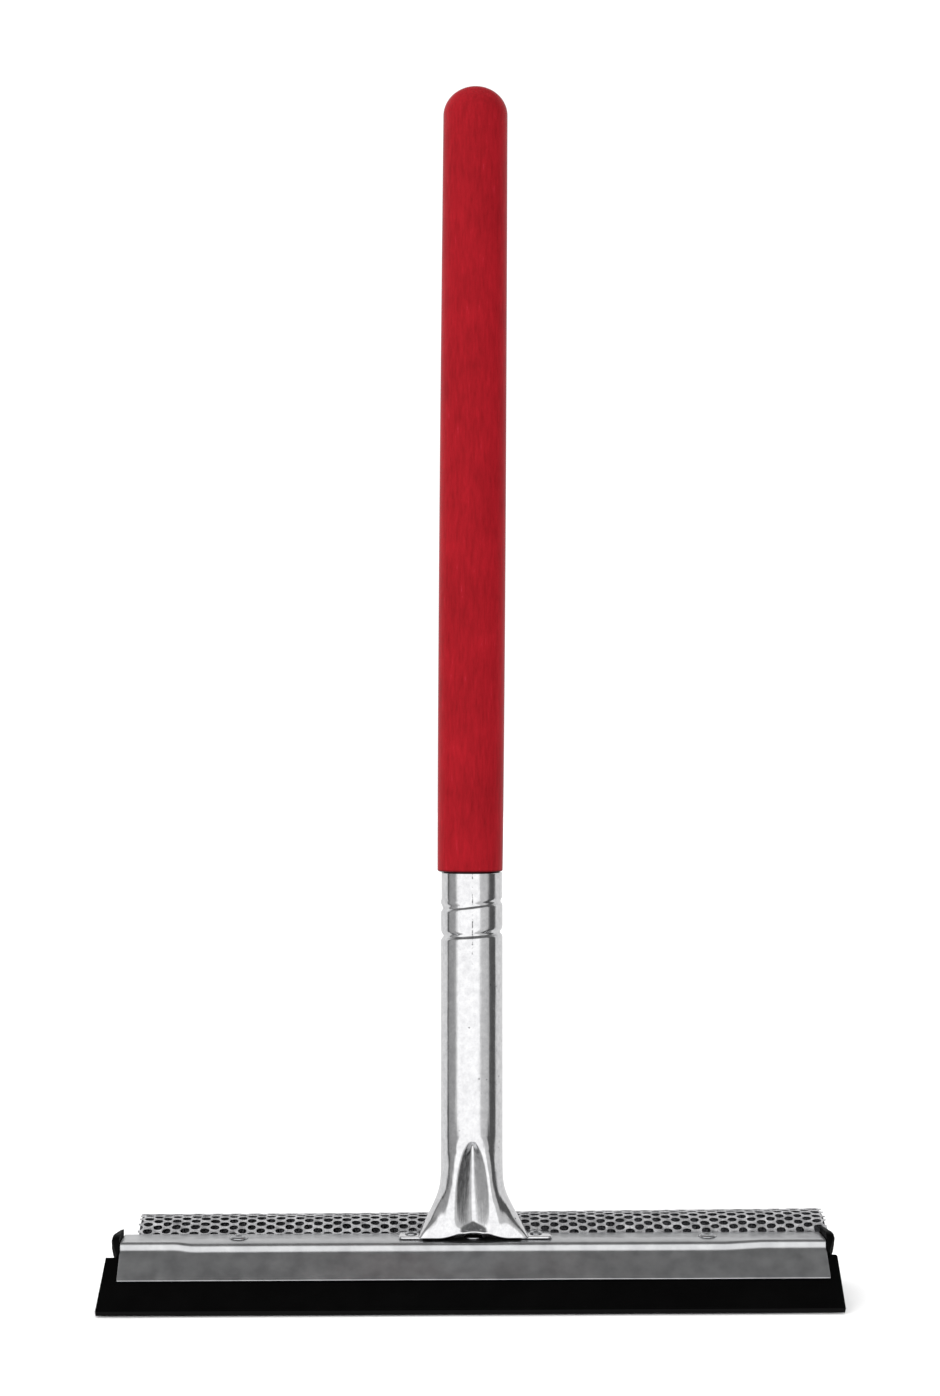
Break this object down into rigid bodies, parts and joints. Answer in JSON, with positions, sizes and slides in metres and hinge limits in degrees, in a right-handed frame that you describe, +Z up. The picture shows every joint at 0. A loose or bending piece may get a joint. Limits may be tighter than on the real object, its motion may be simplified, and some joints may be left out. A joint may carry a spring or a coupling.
{
  "type": "window cleaning squeegee",
  "caption": "Hand squeegee: wooden handle in a riveted steel socket, on a folded steel head gripping a flexing rubber blade in front and a net-covered sponge behind.",
  "frame": {"origin": "on the blade's wiping edge, at the middle of its thickness and of the head's length", "axes": "+X along the blade, -Y towards the blade's side and +Y towards the sponge's side, +Z up the handle"},
  "size_m": [0.2553, 0.0627, 0.4275],
  "materials": {
    "handle_lacquer": "glossy red lacquer over turned wood",
    "plated_steel": "bright plated rolled steel tube",
    "galvanised_sheet": "satin galvanised steel sheet",
    "zinc_rivet": "zinc plated, satin",
    "black_rubber": "matt black cut sheet rubber",
    "dark_foam": "open-cell dark foam",
    "grey_net": "knitted light grey scrubbing net"
  },
  "bodies": {
    "head": {"handle": "handle_lacquer", "handle_socket": "plated_steel", "head_cover": "galvanised_sheet", "inner_jaw": "galvanised_sheet", "blade_heel": "black_rubber", "sponge_core": "dark_foam", "sponge_net": "grey_net", "rivet_left": "zinc_rivet", "rivet_middle": "zinc_rivet", "rivet_right": "zinc_rivet", "rivet_tab_left": "zinc_rivet", "rivet_tab_right": "zinc_rivet"},
    "blade_lip": {"blade_lip": "black_rubber"}
  },
  "joints": [
    {"name": "blade_flex", "type": "hinge", "parent": "head", "child": "blade_lip", "pos_m": [0, 0.00735, 0.00664], "axis": [1, 0, 0], "range_deg": [-35, 35], "stiffness_Nm_per_rad": 0.35}
  ]
}
